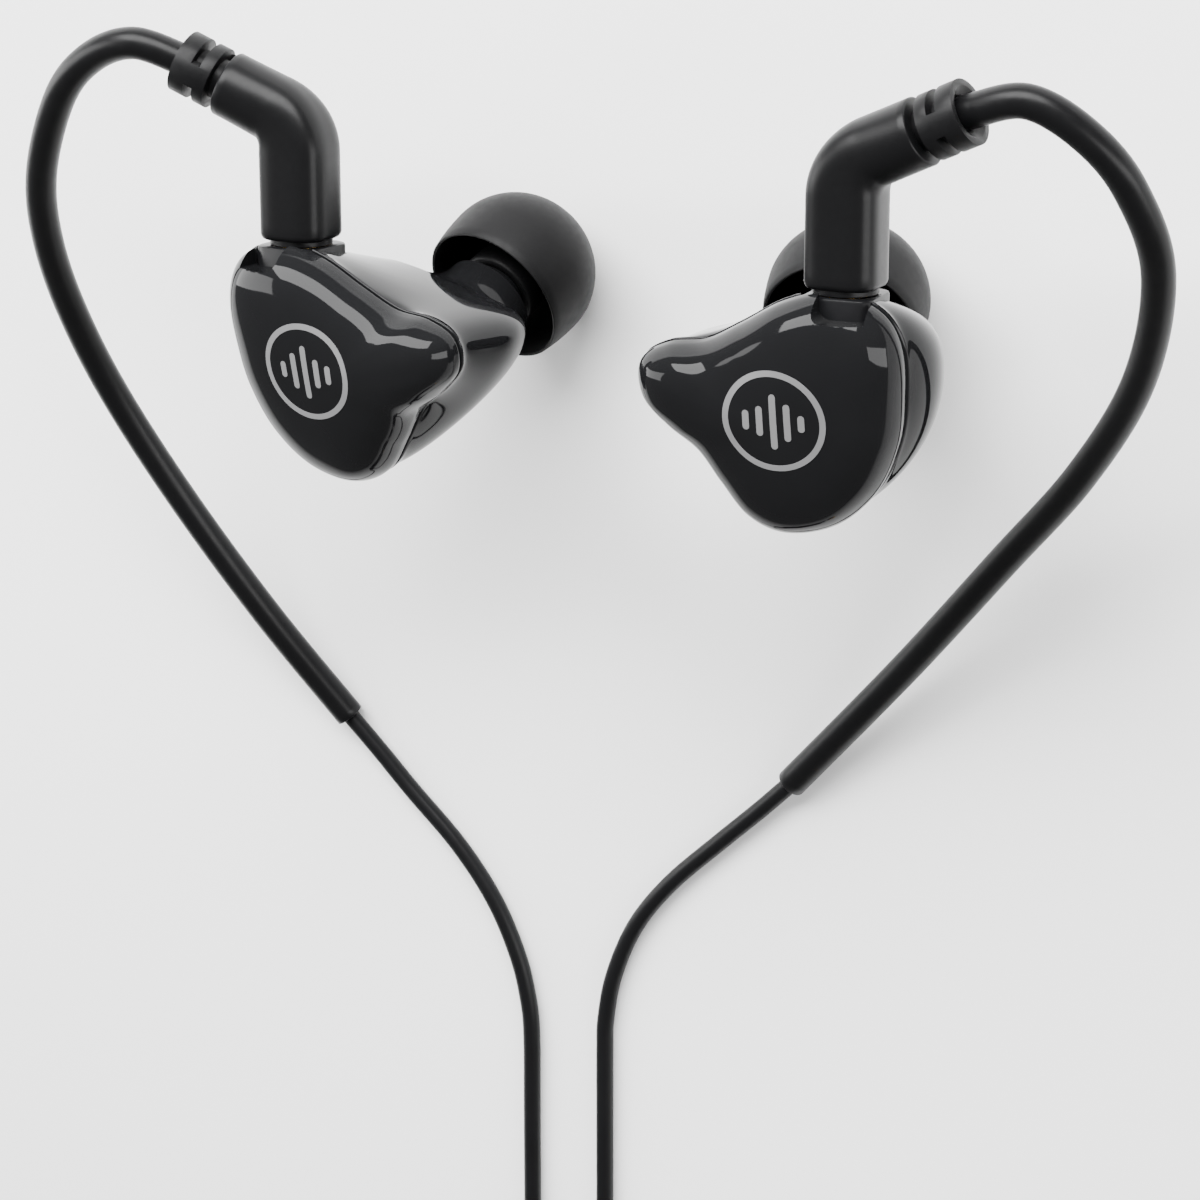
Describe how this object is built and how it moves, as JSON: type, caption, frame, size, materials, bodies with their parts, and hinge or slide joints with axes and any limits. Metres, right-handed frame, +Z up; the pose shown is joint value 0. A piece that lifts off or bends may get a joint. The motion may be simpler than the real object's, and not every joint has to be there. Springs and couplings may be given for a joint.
{
  "type": "in-ear monitor pair",
  "caption": "Pair of gloss-black in-ear monitors with silicone tips, swivelling detachable plugs, ear-hook sleeves, and a split cable wound up to a stereo jack.",
  "frame": {"origin": "on the table under the middle of the pair, cable and jack left out", "axes": "+Z up from the table, towards the faceplates; +Y towards the tops of the ear hooks; +X towards the left earphone"},
  "size_m": [0.0955, 0.1589, 0.0315],
  "materials": {
    "shell_black": "gloss black, lacquered",
    "emblem_grey": "grey print",
    "screen_grey": "dark perforated screen",
    "silicone_black": "matte silicone",
    "socket_black": "gloss black",
    "plug_gold": "gold plated",
    "insulator": "moulded",
    "insulator_black": "moulded",
    "housing_black": "satin black",
    "relief_black": "satin rubber",
    "sleeve_black": "satin tubing",
    "cord_black": "satin jacket",
    "driver_grey": "satin",
    "magnet": "nickel plated",
    "film": "thin film",
    "copper_coil": "wound wire",
    "armature_steel": "satin can",
    "clear_tube": "soft tube",
    "board_green": "solder mask",
    "wire_red": "enamelled",
    "tie_fabric": "hook and loop"
  },
  "bodies": {
    "cable": {"right_plug_housing": "housing_black", "right_plug_shell": "plug_gold", "right_plug_insulator": "insulator", "right_plug_pin": "plug_gold", "right_strain_relief": "relief_black", "right_ear_hook": "sleeve_black", "right_cord": "cord_black", "left_plug_housing": "housing_black", "left_plug_shell": "plug_gold", "left_plug_insulator": "insulator", "left_plug_pin": "plug_gold", "left_strain_relief": "relief_black", "left_ear_hook": "sleeve_black", "left_cord": "cord_black", "cable_splitter": "relief_black", "main_lead": "cord_black", "cable_coil": "cord_black", "coil_tie": "tie_fabric", "jack_boot": "relief_black", "jack_body": "housing_black", "jack_sleeve": "plug_gold", "jack_ring": "plug_gold", "jack_tip": "plug_gold", "jack_insulators": "insulator_black"},
    "right_earphone": {"right_faceplate": "shell_black", "right_emblem": "emblem_grey", "right_inner_shell": "shell_black", "right_nozzle_screen": "screen_grey", "right_socket_boss": "socket_black", "right_socket_shell": "plug_gold", "right_socket_insulator": "insulator", "right_socket_contact": "plug_gold", "right_driver_frame": "driver_grey", "right_driver_magnet": "magnet", "right_armature_driver": "armature_steel", "right_sound_tube": "clear_tube", "right_crossover_board": "board_green", "right_lead_wires": "wire_red"},
    "left_earphone": {"left_faceplate": "shell_black", "left_emblem": "emblem_grey", "left_inner_shell": "shell_black", "left_nozzle_screen": "screen_grey", "left_socket_boss": "socket_black", "left_socket_shell": "plug_gold", "left_socket_insulator": "insulator", "left_socket_contact": "plug_gold", "left_driver_frame": "driver_grey", "left_driver_magnet": "magnet", "left_armature_driver": "armature_steel", "left_sound_tube": "clear_tube", "left_crossover_board": "board_green", "left_lead_wires": "wire_red"},
    "right_tip": {"right_ear_tip": "silicone_black"},
    "left_tip": {"left_ear_tip": "silicone_black"},
    "right_diaphragm_body": {"right_diaphragm": "film", "right_voice_coil": "copper_coil"},
    "left_diaphragm_body": {"left_diaphragm": "film", "left_voice_coil": "copper_coil"},
    "chin_slider_body": {"chin_slider": "relief_black"}
  },
  "joints": [
    {"name": "right_swivel", "type": "hinge", "parent": "cable", "child": "right_earphone", "pos_m": [-0.0198, 0.016, 0.0246], "axis": [0, 1, 0], "range_deg": [-35, 35]},
    {"name": "left_swivel", "type": "hinge", "parent": "cable", "child": "left_earphone", "pos_m": [0.025, 0.0159, 0.02575], "axis": [0, 1, 0], "range_deg": [-35, 35]},
    {"name": "right_tip_pull", "type": "slide", "parent": "right_earphone", "child": "right_tip", "axis": [0.2434, 0.4695, -0.8487], "range_m": [0, 0.0055]},
    {"name": "left_tip_pull", "type": "slide", "parent": "left_earphone", "child": "left_tip", "axis": [-0.1229, 0.4695, -0.8744], "range_m": [0, 0.0055]},
    {"name": "right_diaphragm_throw", "type": "slide", "parent": "right_earphone", "child": "right_diaphragm_body", "axis": [-0.1524, -0.225, 0.9624], "range_m": [-0.00015, 0.00015], "stiffness_N_per_m": 60},
    {"name": "left_diaphragm_throw", "type": "slide", "parent": "left_earphone", "child": "left_diaphragm_body", "axis": [0.017, -0.225, 0.9742], "range_m": [-0.00015, 0.00015], "stiffness_N_per_m": 60},
    {"name": "chin_slide", "type": "slide", "parent": "cable", "child": "chin_slider_body", "axis": [0, 1, 0], "range_m": [0, 0.018]}
  ]
}
